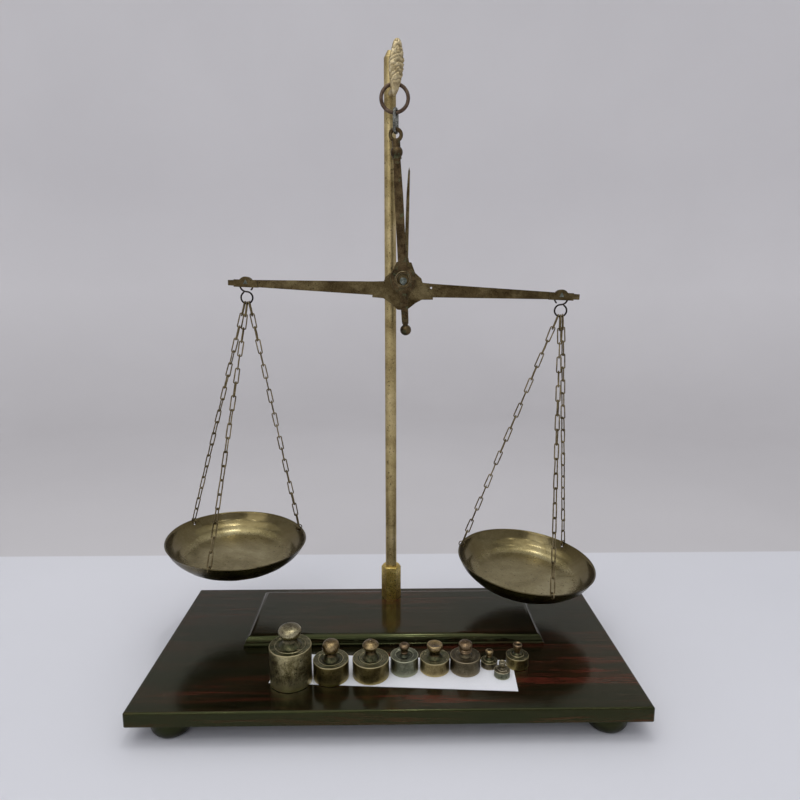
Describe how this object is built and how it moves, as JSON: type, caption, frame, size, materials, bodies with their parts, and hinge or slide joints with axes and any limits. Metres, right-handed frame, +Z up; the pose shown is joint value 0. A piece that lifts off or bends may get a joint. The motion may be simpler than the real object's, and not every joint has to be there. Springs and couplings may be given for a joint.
{
  "type": "balance scale",
  "caption": "Brass hand balance with chained pans, hung by a ring from a leaf-shaped hook on a column, on a dark wooden stand with a row of knob weights.",
  "frame": {"origin": "on the table under the middle of the balance's bounding box, pans included", "axes": "+Z up, +X along the beam to the right seen from the front, +Y towards the back where the column stands"},
  "size_m": [0.3499, 0.1803, 0.463],
  "materials": {
    "dark_wood": "dark red-brown polished hardwood, glossy",
    "foot_wood": "near-black polished wood",
    "column_brass": "dull olive-yellow drawn brass, speckled",
    "socket_brass": "golden brown brass, stained",
    "cast_brass": "pale cast brass with dark recesses",
    "dark_brass": "dark brown patinated brass",
    "beam_brass": "dark olive-brown patinated brass",
    "pan_brass": "tarnished spun brass, bright inside and dark outside",
    "chain_brass": "aged brass wire",
    "weight_brass": "mottled aged brass with worn edges",
    "dark_iron": "dark oxidised iron wire",
    "grey_steel": "dull grey-green hardened steel",
    "zinc_steel": "plated steel",
    "card": "white card"
  },
  "bodies": {
    "stand": {"base_board": "dark_wood", "plinth": "dark_wood", "foot_front_left": "foot_wood", "foot_front_right": "foot_wood", "foot_back_left": "foot_wood", "foot_back_right": "foot_wood", "foot_screws": "zinc_steel", "column_socket": "socket_brass", "column": "column_brass", "column_stud": "zinc_steel", "base_washer": "zinc_steel", "base_nut": "zinc_steel", "finial_hook": "cast_brass", "weight_card": "card"},
    "ring": {"hanging_ring": "dark_iron"},
    "link": {"suspension_link": "dark_iron"},
    "shears": {"shears_eye": "dark_brass", "shears_tail": "dark_brass", "shears_top_rivet": "dark_brass", "shears_tail_rivet": "dark_brass", "shears_front_cheek": "dark_brass", "shears_back_cheek": "dark_brass", "front_bearing": "dark_brass", "back_bearing": "dark_brass"},
    "beam": {"beam": "beam_brass", "fulcrum_knife": "grey_steel", "pointer": "beam_brass", "left_end_knife": "grey_steel", "right_end_knife": "grey_steel"},
    "left_hook": {"left_s_hook": "dark_iron"},
    "left_chain_tops": {"left_top_links": "chain_brass"},
    "left_pan": {"left_pan": "pan_brass", "left_rim_rings": "chain_brass", "left_chain_outer": "chain_brass", "left_chain_front": "chain_brass", "left_chain_inner": "chain_brass"},
    "right_hook": {"right_s_hook": "dark_iron"},
    "right_chain_tops": {"right_top_links": "chain_brass"},
    "right_pan": {"right_pan": "pan_brass", "right_rim_rings": "chain_brass", "right_chain_outer": "chain_brass", "right_chain_front": "chain_brass", "right_chain_inner": "chain_brass"},
    "weight_a": {"weight_a": "weight_brass"},
    "weight_b": {"weight_b": "weight_brass"},
    "weight_c": {"weight_c": "weight_brass"},
    "weight_d": {"weight_d": "weight_brass"},
    "weight_e": {"weight_e": "weight_brass"},
    "weight_f": {"weight_f": "weight_brass"},
    "weight_g": {"weight_g": "weight_brass"},
    "weight_h": {"weight_h": "weight_brass"},
    "weight_i": {"weight_i": "weight_brass"}
  },
  "joints": [
    {"name": "ring_swing", "type": "hinge", "parent": "stand", "child": "ring", "pos_m": [0.00909, 0.0327, 0.4305], "axis": [0, 1, 0], "range_deg": [-6, 6]},
    {"name": "link_sway", "type": "hinge", "parent": "ring", "child": "link", "pos_m": [0.00979, 0.0327, 0.41477], "axis": [1, 0, 0], "range_deg": [-8, 1.5]},
    {"name": "shears_swing", "type": "hinge", "parent": "link", "child": "shears", "pos_m": [0.00979, 0.0327, 0.4009], "axis": [-0.0401, -0.9992, 0], "range_deg": [-6, 6]},
    {"name": "beam_rock", "type": "hinge", "parent": "shears", "child": "beam", "pos_m": [0.01529, 0.03248, 0.2916], "axis": [0.0401, 0.9992, 0], "range_deg": [-12, 7.5]},
    {"name": "left_hook_turn", "type": "hinge", "parent": "beam", "child": "left_hook", "pos_m": [-0.10412, 0.03728, 0.29617], "axis": [0.0401, 0.9992, 0], "range_deg": [-7.5, 12]},
    {"name": "left_pan_swing", "type": "hinge", "parent": "left_hook", "child": "left_chain_tops", "pos_m": [-0.10412, 0.03728, 0.28244], "axis": [-0.0401, -0.9992, 0], "range_deg": [-15, 15]},
    {"name": "left_pan_sway", "type": "hinge", "parent": "left_chain_tops", "child": "left_pan", "pos_m": [-0.10502, 0.03723, 0.26847], "axis": [1, 0, 0], "range_deg": [-8, 8]},
    {"name": "right_hook_turn", "type": "hinge", "parent": "beam", "child": "right_hook", "pos_m": [0.13468, 0.02768, 0.28644], "axis": [0.0401, 0.9992, 0], "range_deg": [-7.5, 12]},
    {"name": "right_pan_swing", "type": "hinge", "parent": "right_hook", "child": "right_chain_tops", "pos_m": [0.13468, 0.02768, 0.27271], "axis": [0.0401, 0.9992, 0], "range_deg": [-15, 10]},
    {"name": "right_pan_sway", "type": "hinge", "parent": "right_chain_tops", "child": "right_pan", "pos_m": [0.1337, 0.02791, 0.25829], "axis": [1, 0, 0], "range_deg": [-8, 8]},
    {"name": "weight_a_lift", "type": "slide", "parent": "stand", "child": "weight_a", "axis": [0, 0, 1], "range_m": [0, 0.03]},
    {"name": "weight_b_lift", "type": "slide", "parent": "stand", "child": "weight_b", "axis": [0, 0, 1], "range_m": [0, 0.03]},
    {"name": "weight_c_lift", "type": "slide", "parent": "stand", "child": "weight_c", "axis": [0, 0, 1], "range_m": [0, 0.03]},
    {"name": "weight_d_lift", "type": "slide", "parent": "stand", "child": "weight_d", "axis": [0, 0, 1], "range_m": [0, 0.03]},
    {"name": "weight_e_lift", "type": "slide", "parent": "stand", "child": "weight_e", "axis": [0, 0, 1], "range_m": [0, 0.03]},
    {"name": "weight_f_lift", "type": "slide", "parent": "stand", "child": "weight_f", "axis": [0, 0, 1], "range_m": [0, 0.03]},
    {"name": "weight_g_lift", "type": "slide", "parent": "stand", "child": "weight_g", "axis": [0, 0, 1], "range_m": [0, 0.03]},
    {"name": "weight_h_lift", "type": "slide", "parent": "stand", "child": "weight_h", "axis": [0, 0, 1], "range_m": [0, 0.03]},
    {"name": "weight_i_lift", "type": "slide", "parent": "stand", "child": "weight_i", "axis": [0, 0, 1], "range_m": [0, 0.03]}
  ],
  "couplings": [
    {"joint": "left_hook_turn", "follows": "beam_rock", "ratio": -1},
    {"joint": "right_hook_turn", "follows": "beam_rock", "ratio": -1}
  ]
}
